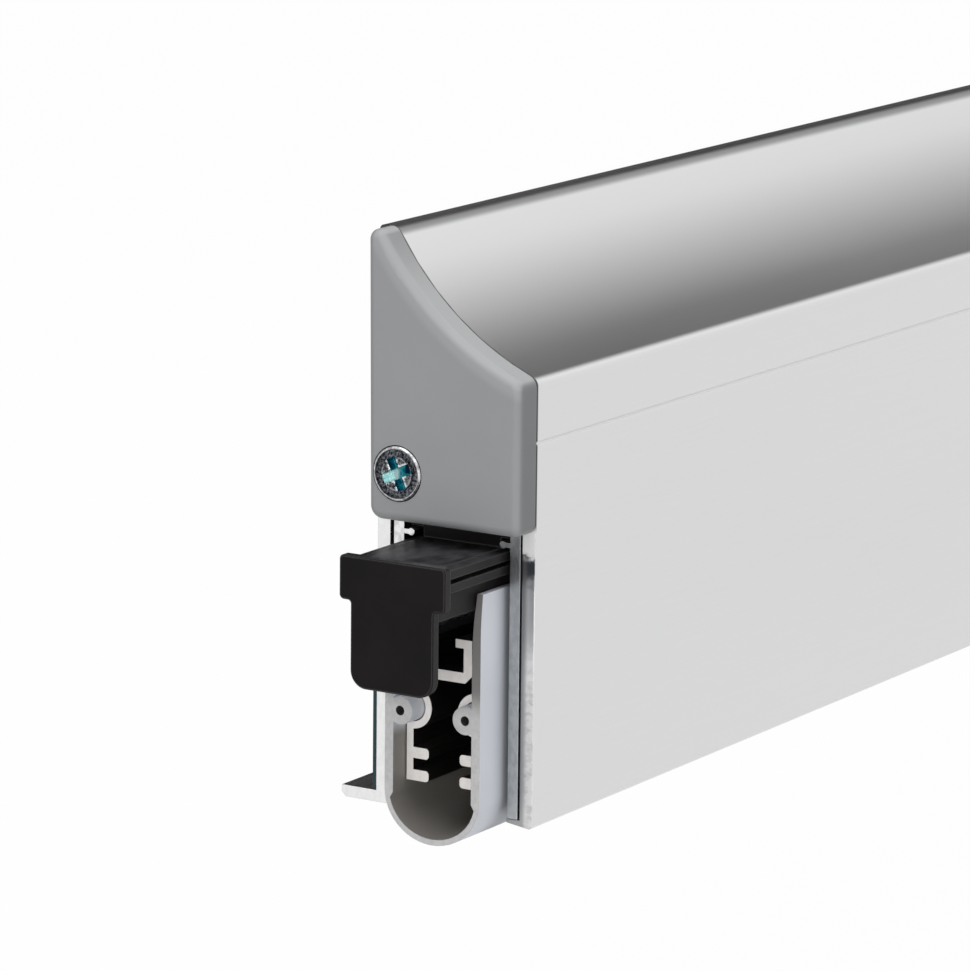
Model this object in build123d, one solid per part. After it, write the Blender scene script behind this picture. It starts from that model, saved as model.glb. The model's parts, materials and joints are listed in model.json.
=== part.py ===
from build123d import *
import math
import os

# Automatic door bottom seal for mounting on the face of a door leaf.
# Sections are drawn as (depth in front of the door face, height above the cover's
# bottom edge) and run along X from the plunger end. At the end everything moves so
# that the origin is on the door face, at the middle of the row of screw holes.
# Depth points to -Y, so the door is on the +Y side and +Z is up. Millimetres.

# Driving dimensions
length = 460.0

# cover: the visible extrusion
cover_height = 60.0
cover_depth = 18.7
cover_front_height = 46.1
cover_wall = 1.5
concave_radius = 32.3
nose_width = 2.1
nose_back_radius = 0.5
nose_front_radius = 1.2
cover_edge_radius = 1.0
cover_foot_radius = 0.4
front_line_below_edge = 6.4
front_line_width = 0.45
front_line_depth = 0.22
lip_reach = 3.0
lip_thickness = 0.8
lip_tip_thickness = 0.4
snap_width = 0.7
snap_gap = 0.3
snap_overlap = 0.75

# base plate: the part that is screwed to the door
plate_thickness = 1.5
plate_bottom = 0.2
flange_reach = 4.2
flange_thickness = 1.2
flange_chamfer = 0.5
tongue_width = 0.7
tongue_height = 1.4
tongue_clearance = 0.1
nose_depth = 2.8
shelf_thickness = 1.2
spacer_height = 1.0
lower_spacer_z = 6.0
upper_spacer_z = 24.0
port_depth = 4.3
port_height_above_shelf = 1.45
port_outer_radius = 2.2
port_bore_radius = 1.25
port_mouth = 1.4
door_hole_diameter = 4.5
door_hole_above_shelf = 11.95
outer_hole_span = 360.0
inner_hole_span = 120.0

# gasket tape on the door side of the plate
tape_thickness = 0.5
tape_width = 18.0
tape_above_flange = 0.1

# housing channel
channel_width = 15.0
channel_height = 32.0
channel_wall = 1.2
channel_corner = 0.4
channel_behind_gap = 0.45
channel_seat_gap = 0.05
hook_reach = 1.23
hook_thickness = 0.5
hook_tip_radius = 0.38
hook_below_top = 3.9

# end caps and their screws
cap_thickness = 3.2
cap_seat_gap = 0.08
cap_edge_radius = 0.95
cap_top_inset = 0.5
cap_foot_inset = 0.8
cap_proud = 0.08
cap_over_channel = 2.35
cap_nose_roundness = 0.98
cap_edge_share = 0.92
cap_back_corner = 1.4
cap_front_corner = 1.05
cap_brow_corner = 1.4
cap_rib_length = 5.0
cap_rib_thickness = 1.2
cap_rib_height = 6.0
cap_rib_above_shelf = 3.4
cap_screw_head_diameter = 5.6
cap_screw_head_height = 1.6
cap_screw_head_proud = 0.15
cap_screw_head_chamfer = 0.15
cap_screw_bore_clearance = 0.1
cap_screw_shank_radius = 1.2
cap_screw_length = 12.0
dish_inner_radius = 1.85
dish_outer_radius = 2.5
dish_depth = 0.25
recess_span = 3.5
recess_arm = 1.05
recess_depth = 1.2
recess_turn = -24.0

# plunger
plunger_front = 12.0
plunger_plate_thickness = 1.0
plunger_ear_width = 12.5
plunger_ear_height = 4.55
plunger_ear_corner = 0.5
plunger_neck_corner = 0.4
plunger_stem_width = 9.8
plunger_height = 13.45
plunger_stem_corner = 1.8
plunger_edge_chamfer = 0.15
plunger_top_above_deck = 0.35
plunger_body_width = 9.2
plunger_body_height = 5.5
plunger_body_end = 18.0
plunger_under_hook = 0.17
plunger_wall = 1.2
plunger_pocket_end = 3.0
plunger_rail_reach = 1.15
plunger_rail_height = 0.9
plunger_rail_pitch = 1.4
plunger_rail_drop = 0.2
plunger_rail_end = 14.0
tee_start = 1.0
tee_side_clearance = 0.2
tee_height_clearance = 0.1

# push rod, lock nut and set screws
rod_radius = 1.5
rod_fit = 0.02
rod_running_clearance = 0.08
rod_below_top = 2.65
rod_start = 6.0
rod_past_block = 6.0
nut_across_flats = 5.0
nut_thickness = 2.0
set_screw_radius = 1.25
set_screw_socket = 1.3
set_screw_socket_depth = 1.1

# lever mechanism: a long lever hangs the carrier, a half length fork guides its middle
mechanism_from_end = 100.0
lever_span = 36.0
lever_rest_drop = 3.9
seal_drop = 12.0
pivot_below_rod = 3.8
pivot_radius = 1.0
pivot_fit = 0.03
lever_thickness = 2.2
lever_end_radius = 1.8
fork_end_radius = 1.75
fork_width = 5.0
open_pivot_clearance = 0.3
open_pivot_slot = 0.6
side_clearance = 0.15
block_stem_width = 9.0
block_below_pivot = 1.8
bearing_block_ahead = 7.0
bearing_block_behind = 8.0
slide_block_ahead = 6.2
slide_block_behind = 7.0
slot_end_clearance = 0.35
set_screw_from_pivot = 4.4

# screws that hold the channel and the bearing blocks under the shelf
clamp_screw_radius = 1.0
clamp_screw_head_radius = 1.9
clamp_screw_head_height = 1.4
clamp_screw_length = 7.5
clamp_screw_forward = 3.1
clamp_screw_from_pivot = 5.0

# return spring
spring_wire_radius = 0.3
spring_wire_flats = 4
spring_mean_radius = 2.0
spring_turns = 5

# seal: an upright wall each side, closed below by a half ellipse
seal_width = 11.3
seal_wall = 1.0
seal_top_wall = 0.67
seal_lip_wall = 0.55
seal_bottom_wall = 0.6
seal_top = 24.6
seal_thin_from = 17.0
seal_bottom = -2.0
seal_bottom_rise = 5.2
seal_kink_z = 2.3
seal_kink_rise = 0.6
seal_past_end = 4.3
bead_offset = 3.86
bead_height = 11.47
bead_radius = 1.45
bead_hole_radius = 0.5
bead_neck = 1.9

# carrier
carrier_past_end = 2.0
carrier_side_gap = 0.15
carrier_side_wall = 0.8
carrier_bottom = 3.75
socket_clearance = 0.12
socket_wall = 0.75
rib_length = 1.85
rib_thickness = 1.15
rib_pitch = 2.35
track_inner_width = 4.4
track_wall = 1.0
track_web_z = 14.65
track_web = 1.1
track_height = 4.5
track_lip = 0.9
track_mouth = 2.46
track_corner = 0.8
bridge_thickness = 1.0

# hanger blocks in the carrier's track
hanger_track_clearance = 0.08
hanger_head_width = 6.0
hanger_head_above_pivot = 1.5
hanger_ahead = 2.2
hanger_behind = 4.0

# Places that follow from the dimensions
lip_top = lip_thickness
channel_bottom = lip_top + channel_seat_gap
channel_top = channel_bottom + channel_height
channel_back = plate_thickness + channel_behind_gap
channel_front = channel_back + channel_width
channel_inside_top = channel_top - channel_wall
middle = channel_back + channel_width / 2
channel_half_inside = channel_width / 2 - channel_wall
shelf_top = channel_top + shelf_thickness
nose_bottom = cover_height - nose_depth
flange_top = plate_bottom + flange_thickness
port_z = shelf_top + port_height_above_shelf
cover_inside = cover_depth - cover_wall
shelf_end = cover_inside - snap_gap
snap_start = shelf_end - 2 * snap_width - snap_gap
hook_z = channel_top - hook_below_top
hook_top = hook_z + hook_tip_radius
hook_gap_half = channel_half_inside - hook_reach
door_hole_z = shelf_top + door_hole_above_shelf
rod_z = channel_inside_top - rod_below_top
pivot_z = rod_z - pivot_below_rod
hanger_pivot_z = pivot_z - lever_rest_drop
rest_angle = math.asin(lever_rest_drop / lever_span)
low_angle = math.asin((lever_rest_drop + seal_drop) / lever_span)
rest_run = lever_span * math.cos(rest_angle)
low_run = lever_span * math.cos(low_angle)
left_pivot_x = mechanism_from_end
right_pivot_x = length - mechanism_from_end
block_bottom = pivot_z - block_below_pivot
tee_bottom = hook_top + tee_height_clearance
tee_top = channel_inside_top - tee_height_clearance
tee_half = channel_half_inside - tee_side_clearance
deck_z = hook_z - hook_tip_radius - plunger_under_hook
plunger_top = deck_z + plunger_top_above_deck
seal_half = seal_width / 2
seal_round_z = seal_bottom + seal_bottom_rise
seal_inside = seal_half - seal_wall
carrier_half = seal_inside - carrier_side_gap
carrier_inside = carrier_half - carrier_side_wall
track_half = track_inner_width / 2 + track_wall
track_top = track_web_z + track_height
socket_radius = bead_radius + socket_clearance


# Section helpers
def section_plane(x):
    return Plane(origin=(x, 0, 0), x_dir=(0, -1, 0), z_dir=(-1, 0, 0))


def run(section, x_start, x_end):
    """Extrudes a (depth, height) section along X."""
    return extrude(section_plane(x_end) * section, amount=x_end - x_start)


def strip(depth_a, depth_b, z_a, z_b):
    """A rectangle between two depths and two heights."""
    centre = Pos((depth_a + depth_b) / 2, (z_a + z_b) / 2)
    return centre * Rectangle(abs(depth_b - depth_a), abs(z_b - z_a))


def across(half_width, z_a, z_b):
    """A strip that is centred in the channel."""
    return strip(middle - half_width, middle + half_width, z_a, z_b)


def pin_across(x, z, radius, half_length):
    """A pin whose axis runs across the channel, centred in it."""
    return Pos(x, -middle, z) * Rot(X=90) * Cylinder(radius, 2 * half_length)


def rod_along(x_start, x_end, depth, z, radius):
    centre = Pos((x_start + x_end) / 2, -depth, z)
    return centre * Rot(Y=90) * Cylinder(radius, x_end - x_start)


# Concave top of the cover: an arc through the nose and the front's top edge
chord_depth = cover_depth - nose_width
chord_fall = cover_height - cover_front_height
chord = math.hypot(chord_depth, chord_fall)
centre_reach = math.sqrt(concave_radius**2 - (chord / 2) ** 2)
arc_depth = (nose_width + cover_depth) / 2 + centre_reach * chord_fall / chord
arc_z = (cover_height + cover_front_height) / 2 + centre_reach * chord_depth / chord


def concave_z(depth, grow=0.0):
    """Height of the concave arc at a depth, for the outer or a grown radius."""
    radius = concave_radius + grow
    return arc_z - math.sqrt(radius**2 - (arc_depth - depth) ** 2)


def concave_arc(depth_a, depth_b, grow=0.0):
    depth_m = (depth_a + depth_b) / 2
    points = [(d, concave_z(d, grow)) for d in (depth_a, depth_m, depth_b)]
    return ThreePointArc(*points)


# Nose of an end cap: its two corners share the width that the falling arc leaves
cap_arc_radius = concave_radius - cap_proud
cap_nose_reach = math.sqrt(cap_arc_radius**2 - (arc_z - cover_height) ** 2)
cap_nose_front = arc_depth - cap_nose_reach
cap_nose_fall = math.asin(cap_nose_reach / cap_arc_radius)
cap_nose_width = cap_nose_front - cap_top_inset
cap_nose_corner = cap_nose_roundness * cap_nose_width / (1 + math.tan(cap_nose_fall / 2))
cap_edge = min(cap_edge_radius, cap_edge_share * cap_nose_corner)


def corner_near(face, depth, z):
    """The section's corner that lies nearest to a point."""
    return face.vertices().sort_by_distance((depth, z, 0))[0]


def cover_section():
    inner_start = plate_thickness + snap_gap
    outline = [
        Polyline((0, nose_bottom), (0, cover_height), (nose_width, cover_height)),
        concave_arc(nose_width, cover_depth),
        Polyline(
            (cover_depth, cover_front_height),
            (cover_depth, 0),
            (cover_depth - lip_reach, lip_thickness - lip_tip_thickness),
            (cover_depth - lip_reach, lip_thickness),
            (cover_inside, lip_thickness),
            (cover_inside, concave_z(cover_inside, cover_wall)),
        ),
        concave_arc(cover_inside, inner_start, cover_wall),
        Polyline(
            (inner_start, concave_z(inner_start, cover_wall)),
            (inner_start, nose_bottom),
            (0, nose_bottom),
        ),
    ]
    face = make_face(outline)
    face = fillet(corner_near(face, 0, cover_height), nose_back_radius)
    face = fillet(corner_near(face, nose_width, cover_height), nose_front_radius)
    face = fillet(corner_near(face, cover_depth, cover_front_height), cover_edge_radius)
    face = fillet(corner_near(face, cover_depth, 0), cover_foot_radius)
    tongue_start = (plate_thickness - tongue_width) / 2
    slot = strip(
        tongue_start - tongue_clearance,
        tongue_start + tongue_width + tongue_clearance,
        nose_bottom,
        nose_bottom + tongue_height + tongue_clearance,
    )
    line_z = cover_front_height - front_line_below_edge
    line = make_face(
        Polyline(
            (cover_depth, line_z - front_line_width / 2),
            (cover_depth - front_line_depth, line_z),
            (cover_depth, line_z + front_line_width / 2),
            close=True,
        )
    )
    rib_bottom = shelf_top + snap_overlap + 2 * snap_gap
    rib = strip(snap_start, cover_inside, rib_bottom, rib_bottom + shelf_thickness)
    barb = strip(snap_start, snap_start + snap_width, shelf_top + snap_gap, rib_bottom)
    return face - slot - line + rib + barb


def base_plate_section():
    tongue_start = (plate_thickness - tongue_width) / 2
    plate = strip(0, plate_thickness, plate_bottom, nose_bottom)
    tongue = strip(
        tongue_start,
        tongue_start + tongue_width,
        nose_bottom,
        nose_bottom + tongue_height,
    )
    flange = strip(-flange_reach, plate_thickness, plate_bottom, flange_top)
    flange = chamfer(corner_near(flange, -flange_reach, plate_bottom), flange_chamfer)
    shelf = strip(plate_thickness, shelf_end, channel_top, shelf_top)
    barb_top = shelf_top + snap_gap + snap_overlap
    barb = strip(shelf_end - snap_width, shelf_end, shelf_top, barb_top)
    port = Pos(port_depth, port_z) * Circle(port_outer_radius)
    section = plate + tongue + flange + shelf + barb + port
    for spacer_z in (lower_spacer_z, upper_spacer_z):
        spacer_bottom = spacer_z - spacer_height / 2
        spacer_top = spacer_z + spacer_height / 2
        section += strip(plate_thickness, channel_back, spacer_bottom, spacer_top)
    section -= Pos(port_depth, port_z) * Circle(port_bore_radius)
    mouth_half = port_mouth / 2
    mouth_top = port_z + port_outer_radius
    section -= strip(port_depth - mouth_half, port_depth + mouth_half, port_z, mouth_top)
    return section


def channel_section():
    outer = strip(channel_back, channel_front, channel_bottom, channel_top)
    corners = [corner_near(outer, channel_back, channel_top)]
    corners.append(corner_near(outer, channel_front, channel_top))
    outer = fillet(corners, channel_corner)
    section = outer - across(channel_half_inside, channel_bottom, channel_inside_top)
    for side in (1, -1):
        root = middle + side * channel_half_inside
        tip = root - side * (hook_reach - hook_tip_radius)
        hook_bottom = hook_z - hook_thickness / 2
        hook_upper = hook_z + hook_thickness / 2
        section += strip(root, tip, hook_bottom, hook_upper)
        section += Pos(tip, hook_z) * Circle(hook_tip_radius)
    return section


def seal_space():
    """The inside of the seal above its kink, wider towards the top, where the wall thins."""
    thinning = seal_wall - seal_top_wall
    kink_above_bottom = (seal_round_z - seal_kink_z) / (seal_bottom_rise - seal_bottom_wall)
    kink_half = (seal_half - seal_lip_wall) * math.sqrt(1 - kink_above_bottom**2)
    thin_middle_z = (seal_thin_from + seal_top) / 2
    side_points = [
        (seal_inside, seal_thin_from),
        (seal_inside + thinning / 4, thin_middle_z),
        (seal_inside + thinning, seal_top),
    ]
    right = [(middle + half, z) for half, z in side_points]
    left = [(middle - half, z) for half, z in side_points]
    outline = [
        Polyline(
            left[0],
            (middle - seal_inside, seal_kink_z + seal_kink_rise),
            (middle - kink_half, seal_kink_z),
            (middle + kink_half, seal_kink_z),
            (middle + seal_inside, seal_kink_z + seal_kink_rise),
            right[0],
        ),
        ThreePointArc(*right),
        Line(right[2], left[2]),
        ThreePointArc(*left),
    ]
    return make_face(outline)


def seal_section():
    outer_round = Pos(middle, seal_round_z) * Ellipse(seal_half, seal_bottom_rise)
    section = across(seal_half, seal_round_z, seal_top)
    section += outer_round & across(seal_half, seal_bottom, seal_round_z)
    inner_half = seal_half - seal_lip_wall
    inner_rise = seal_bottom_rise - seal_bottom_wall
    inner_round = Pos(middle, seal_round_z) * Ellipse(inner_half, inner_rise)
    section -= inner_round & across(seal_half, seal_bottom, seal_kink_z)
    section -= seal_space()
    neck_bottom = bead_height - bead_neck / 2
    neck_top = bead_height + bead_neck / 2
    for side in (1, -1):
        wall = middle + side * seal_inside
        bead_middle = middle + side * bead_offset
        section += Pos(bead_middle, bead_height) * Circle(bead_radius)
        section += strip(bead_middle, wall, neck_bottom, neck_top)
        section -= Pos(bead_middle, bead_height) * Circle(bead_hole_radius)
    return section


def carrier_section():
    mouth = track_mouth / 2
    track = across(track_half, track_web_z, track_top)
    corners = [corner_near(track, middle + s * track_half, track_web_z) for s in (1, -1)]
    track = chamfer(corners, track_corner)
    track -= across(track_inner_width / 2, track_web_z + track_web, track_top - track_lip)
    track -= across(mouth, track_web_z + track_web, track_top)
    section = track
    bridge_z = track_web_z + track_web
    side_top = bridge_z + bridge_thickness
    for side in (1, -1):
        outer = middle + side * carrier_half
        inner = middle + side * carrier_inside
        section += strip(outer, inner, carrier_bottom, side_top)
        section += strip(outer, middle + side * track_half, bridge_z, side_top)
        socket = Pos(middle + side * bead_offset, bead_height)
        ring = socket * Circle(socket_radius + socket_wall)
        ring &= across(carrier_half, carrier_bottom, side_top)
        section += ring
        section -= socket * Circle(socket_radius)
        mouth_half = bead_neck / 2 + socket_clearance
        section -= strip(
            middle + side * bead_offset,
            outer,
            bead_height - mouth_half,
            bead_height + mouth_half,
        )
        for step in (0, 1):
            rib_z = carrier_bottom + step * rib_pitch
            rib = strip(inner, inner - side * rib_length, rib_z, rib_z + rib_thickness)
            tips = rib.vertices().sort_by(Axis.X)
            tips = tips[:2] if side > 0 else tips[2:]
            section += fillet(tips, rib_thickness / 3)
    return section


def cap_section():
    """Outline of an end cap: the cover's own outline, with its back set in a little."""
    bottom = channel_top - cap_over_channel
    brow_z = concave_z(cover_depth, -cap_proud)
    outline = [
        Polyline(
            (cover_depth, brow_z),
            (cover_depth, bottom),
            (cap_foot_inset, bottom),
            (cap_top_inset, cover_height),
            (cap_nose_front, cover_height),
        ),
        concave_arc(cap_nose_front, cover_depth, -cap_proud),
    ]
    face = make_face(outline)
    face = fillet(corner_near(face, cap_foot_inset, bottom), cap_back_corner)
    face = fillet(corner_near(face, cover_depth, bottom), cap_front_corner)
    face = fillet(corner_near(face, cover_depth, brow_z), cap_brow_corner)
    face = fillet(corner_near(face, cap_top_inset, cover_height), cap_nose_corner)
    face = fillet(corner_near(face, cap_nose_front, cover_height), cap_nose_corner)
    return face


# Fixed parts
def make_cover():
    return run(cover_section(), 0, length)


def make_base_plate():
    plate = run(base_plate_section(), 0, length)
    for span in (outer_hole_span, inner_hole_span):
        for side in (1, -1):
            place = Pos((length + side * span) / 2, 0, door_hole_z) * Rot(X=90)
            plate -= place * Cylinder(door_hole_diameter / 2, 4 * plate_thickness)
    for pivot_x in (left_pivot_x, right_pivot_x):
        plate -= clamp_screw_place(pivot_x) * Cylinder(
            clamp_screw_radius + side_clearance, 4 * shelf_thickness
        )
    return plate


def clamp_screw_place(pivot_x):
    """On the shelf's top, over a bearing block."""
    return Pos(pivot_x + clamp_screw_from_pivot, -middle - clamp_screw_forward, shelf_top)


def make_channel():
    channel = run(channel_section(), 0, length)
    for pivot_x in (left_pivot_x, right_pivot_x):
        hole = Cylinder(clamp_screw_radius + side_clearance, 6 * shelf_thickness)
        channel -= clamp_screw_place(pivot_x) * hole
    return channel


def make_tape():
    tape_bottom = flange_top + tape_above_flange
    return run(strip(-tape_thickness, 0, tape_bottom, tape_bottom + tape_width), 0, length)


def make_left_cap():
    cap = run(cap_section(), -cap_thickness, -cap_seat_gap)
    outer_face = cap.faces().sort_by(Axis.X)[0]
    cap = fillet(outer_face.edges(), cap_edge)
    rib_bottom = shelf_top + cap_rib_above_shelf
    rib_top = rib_bottom + cap_rib_height
    upright = strip(middle, middle + cap_rib_thickness, rib_bottom, rib_top)
    foot = strip(
        port_depth + port_outer_radius,
        middle + cap_rib_height / 2,
        rib_bottom,
        rib_bottom + cap_rib_thickness,
    )
    cap += run(upright + foot, -cap_rib_thickness, cap_rib_length)
    head_radius = cap_screw_head_diameter / 2 + cap_screw_bore_clearance
    seat_x = cap_screw_head_height - cap_screw_head_proud - cap_thickness
    cap -= rod_along(-cap_thickness, seat_x, port_depth, port_z, head_radius)
    hole_radius = cap_screw_shank_radius + cap_screw_bore_clearance
    cap -= rod_along(seat_x, 0, port_depth, port_z, hole_radius)
    return cap


def make_left_cap_screw():
    seat_x = cap_screw_head_height - cap_screw_head_proud - cap_thickness
    top_x = seat_x - cap_screw_head_height
    head_radius = cap_screw_head_diameter / 2
    head = rod_along(top_x, seat_x, port_depth, port_z, head_radius)
    rim = head.faces().sort_by(Axis.X)[0].edges()
    head = chamfer(rim, cap_screw_head_chamfer)
    dish = rod_along(top_x, top_x + dish_depth, port_depth, port_z, dish_outer_radius)
    dish -= rod_along(top_x, top_x + dish_depth, port_depth, port_z, dish_inner_radius)
    shank_end = seat_x + cap_screw_length
    shank = rod_along(seat_x, shank_end, port_depth, port_z, cap_screw_shank_radius)
    screw = head - dish + shank
    recess_centre = Pos(top_x, -port_depth, port_z) * Rot(X=recess_turn)
    for size in ((recess_arm, recess_span), (recess_span, recess_arm)):
        screw -= recess_centre * Box(2 * recess_depth, *size)
    return screw


def mirrored_to_far_end(shape):
    return Pos(length, 0, 0) * mirror(shape, about=Plane.YZ)


# Push rod group
def make_plunger():
    plate_back = plunger_plate_thickness - plunger_front
    plate_bottom_z = plunger_top - plunger_height
    ear_bottom = plunger_top - plunger_ear_height
    ears = across(plunger_ear_width / 2, ear_bottom, plunger_top)
    ears = fillet(ears.vertices(), plunger_ear_corner)
    stem = across(plunger_stem_width / 2, plate_bottom_z, plunger_top)
    foot_corners = stem.vertices().sort_by(Axis.Y)[:2]
    stem = fillet(foot_corners, plunger_stem_corner)
    plate = ears + stem
    for side in (1, -1):
        neck_corner = corner_near(plate, middle + side * plunger_stem_width / 2, ear_bottom)
        plate = fillet(neck_corner, plunger_neck_corner)
    plunger = run(plate, -plunger_front, plate_back)
    front_edges = plunger.faces().sort_by(Axis.X)[0].edges()
    plunger = chamfer(front_edges, plunger_edge_chamfer)
    body_half = plunger_body_width / 2
    body_bottom = deck_z - plunger_body_height
    plunger += run(across(body_half, body_bottom, deck_z), plate_back, plunger_body_end)
    pocket_half = body_half - plunger_wall
    pocket = across(pocket_half, body_bottom, deck_z - plunger_wall)
    plunger -= run(pocket, plate_back, plunger_pocket_end)
    rail_half = body_half + plunger_rail_reach
    for step in (0, 1):
        rail_top = deck_z - plunger_rail_drop - step * plunger_rail_pitch
        rail = across(rail_half, rail_top - plunger_rail_height, rail_top)
        rail -= across(pocket_half, rail_top - plunger_rail_height, rail_top)
        plunger += run(rail, plate_back, plunger_rail_end)
    neck = across(body_half, deck_z, tee_top)
    tee = across(tee_half, tee_bottom, tee_top)
    plunger += run(neck + tee, tee_start, plunger_body_end)
    bore = rod_along(rod_start, plunger_body_end, middle, rod_z, rod_radius + rod_fit)
    return plunger - bore


def make_push_rod():
    rod_end = right_pivot_x + bearing_block_behind + rod_past_block
    rod = rod_along(rod_start, rod_end, middle, rod_z, rod_radius)
    ends = rod.edges().filter_by(GeomType.CIRCLE)
    return chamfer(ends, rod_radius / 6)


def make_lock_nut():
    nut = RegularPolygon(nut_across_flats / 2, 6, major_radius=False)
    nut = Pos(middle, rod_z) * nut
    nut = run(nut, plunger_body_end, plunger_body_end + nut_thickness)
    bore = rod_along(rod_start, 2 * plunger_body_end, middle, rod_z, rod_radius + rod_fit)
    return nut - bore


def tee_block(x_start, x_end, top):
    """A block that hangs by its head from the channel's two hooks."""
    stem = across(block_stem_width / 2, block_bottom, top)
    head = across(tee_half, tee_bottom, top)
    return run(stem + head, x_start, x_end)


def make_bearing_block(pivot_x):
    x_start = pivot_x - bearing_block_ahead
    x_end = pivot_x + bearing_block_behind
    block = tee_block(x_start, x_end, channel_inside_top)
    slot_half = fork_width / 2 + side_clearance
    slot_end = pivot_x + fork_end_radius + slot_end_clearance
    block -= run(across(slot_half, block_bottom, rod_z), x_start, slot_end)
    bore_radius = rod_radius + rod_running_clearance
    block -= rod_along(x_start, x_end, middle, rod_z, bore_radius)
    block -= pin_across(pivot_x, pivot_z, pivot_radius + pivot_fit, channel_width)
    hole_depth = shelf_thickness + channel_wall + clamp_screw_length
    hole = Cylinder(clamp_screw_radius + pivot_fit, 2 * hole_depth)
    return block - clamp_screw_place(pivot_x) * hole


def make_slide_block(pivot_x):
    lever_x = pivot_x - rest_run
    x_start = lever_x - slide_block_ahead
    x_end = lever_x + slide_block_behind
    block = tee_block(x_start, x_end, tee_top)
    slot_start = lever_x - lever_end_radius - open_pivot_slot - slot_end_clearance
    slot_half = lever_thickness / 2 + side_clearance
    block -= run(across(slot_half, block_bottom, rod_z), slot_start, x_end)
    block -= rod_along(x_start, x_end, middle, rod_z, rod_radius + rod_fit)
    block -= pin_across(lever_x, pivot_z, pivot_radius + pivot_fit, channel_width)
    return block - set_screw_hole(lever_x)


def set_screw_hole(lever_x):
    """From the front of a slide block to its bore."""
    reach = channel_width / 2
    place = Pos(lever_x - set_screw_from_pivot, -middle - reach / 2, rod_z)
    return place * Rot(X=90) * Cylinder(set_screw_radius + pivot_fit, reach)


def make_set_screw(pivot_x):
    lever_x = pivot_x - rest_run
    screw_length = block_stem_width / 2 - rod_radius
    front = middle + block_stem_width / 2
    place = Pos(lever_x - set_screw_from_pivot, -front + screw_length / 2, rod_z)
    screw = place * Rot(X=90) * Cylinder(set_screw_radius, screw_length)
    socket = RegularPolygon(set_screw_socket / 2, 6, major_radius=False)
    mouth = Plane(
        origin=(lever_x - set_screw_from_pivot, -front, rod_z),
        x_dir=(1, 0, 0),
        z_dir=(0, 1, 0),
    )
    return screw - extrude(mouth * socket, amount=set_screw_socket_depth)


# Levers
def link_plate(end_a, end_b, radius, half_a, half_b):
    """A flat link with round ends, between two distances from the channel's middle."""
    run_x = end_b[0] - end_a[0]
    run_z = end_b[1] - end_a[1]
    centre_distance = math.hypot(run_x, run_z)
    turn = math.degrees(math.atan2(run_z, run_x))
    outline = SlotCenterToCenter(centre_distance, 2 * radius)
    middle_x = (end_a[0] + end_b[0]) / 2
    middle_z = (end_a[1] + end_b[1]) / 2
    face = Plane(origin=(middle_x, -middle - half_a, middle_z), x_dir=(1, 0, 0), z_dir=(0, -1, 0))
    return extrude(face * Rot(Z=turn) * outline, amount=half_b - half_a)


def lever_ends(pivot_x):
    slide_end = (pivot_x - rest_run, pivot_z)
    carrier_end = (pivot_x, hanger_pivot_z)
    return slide_end, carrier_end


def lever_middle(pivot_x):
    slide_end, carrier_end = lever_ends(pivot_x)
    return (slide_end[0] + carrier_end[0]) / 2, (slide_end[1] + carrier_end[1]) / 2


def make_long_lever(pivot_x):
    slide_end, carrier_end = lever_ends(pivot_x)
    middle_x, middle_z = lever_middle(pivot_x)
    half = lever_thickness / 2
    lever = link_plate(slide_end, carrier_end, lever_end_radius, -half, half)
    open_radius = pivot_radius + open_pivot_clearance
    slot_far = (
        slide_end[0] + open_pivot_slot * math.cos(rest_angle),
        slide_end[1] - open_pivot_slot * math.sin(rest_angle),
    )
    lever -= link_plate(slide_end, slot_far, open_radius, -channel_wall, channel_wall)
    lever -= pin_across(middle_x, middle_z, open_radius, fork_width)
    bore = pin_across(*carrier_end, pivot_radius + pivot_fit, fork_width)
    return lever - bore


def make_link_fork(pivot_x):
    hub = (pivot_x, pivot_z)
    eye = lever_middle(pivot_x)
    inner = lever_thickness / 2 + side_clearance
    outer = fork_width / 2
    fork = link_plate(hub, eye, fork_end_radius, inner, outer)
    fork += link_plate(hub, eye, fork_end_radius, -outer, -inner)
    fork += pin_across(*hub, fork_end_radius, outer)
    fork -= pin_across(*hub, pivot_radius + pivot_fit, fork_width)
    return fork - pin_across(*eye, pivot_radius + pivot_fit, fork_width)


def make_pivot_pin(x, z, half_length):
    return pin_across(x, z, pivot_radius, half_length)


# Seal bar
def make_seal():
    return run(seal_section(), -seal_past_end, length + seal_past_end)


def make_carrier():
    return run(carrier_section(), -carrier_past_end, length + carrier_past_end)


def make_hanger_block(pivot_x):
    track_floor = track_web_z + track_web
    nut_half = track_inner_width / 2 - hanger_track_clearance
    neck_half = track_mouth / 2 - hanger_track_clearance
    x_start = pivot_x - hanger_ahead
    x_end = pivot_x + hanger_behind
    nut_top = track_top - track_lip - hanger_track_clearance
    block = across(nut_half, track_floor, nut_top) + across(neck_half, nut_top, track_top)
    head_top = hanger_pivot_z + hanger_head_above_pivot
    block = run(block, x_start, x_end)
    block += run(across(hanger_head_width / 2, track_top, head_top), x_start, x_end)
    slot_half = lever_thickness / 2 + side_clearance
    slot_end = pivot_x + lever_end_radius + slot_end_clearance
    block -= run(across(slot_half, track_top, head_top), x_start, slot_end)
    return block - pin_across(pivot_x, hanger_pivot_z, pivot_radius + pivot_fit, fork_width)


# Fasteners and spring
def make_clamp_screw(pivot_x):
    head_middle = Pos(0, 0, clamp_screw_head_height / 2)
    shank_middle = Pos(0, 0, -clamp_screw_length / 2)
    head = head_middle * Cylinder(clamp_screw_head_radius, clamp_screw_head_height)
    rim = head.edges().filter_by(GeomType.CIRCLE).sort_by(Axis.Z)[-1]
    head = chamfer(rim, clamp_screw_head_height / 3)
    screw = head + shank_middle * Cylinder(clamp_screw_radius, clamp_screw_length)
    return clamp_screw_place(pivot_x) * screw


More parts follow.
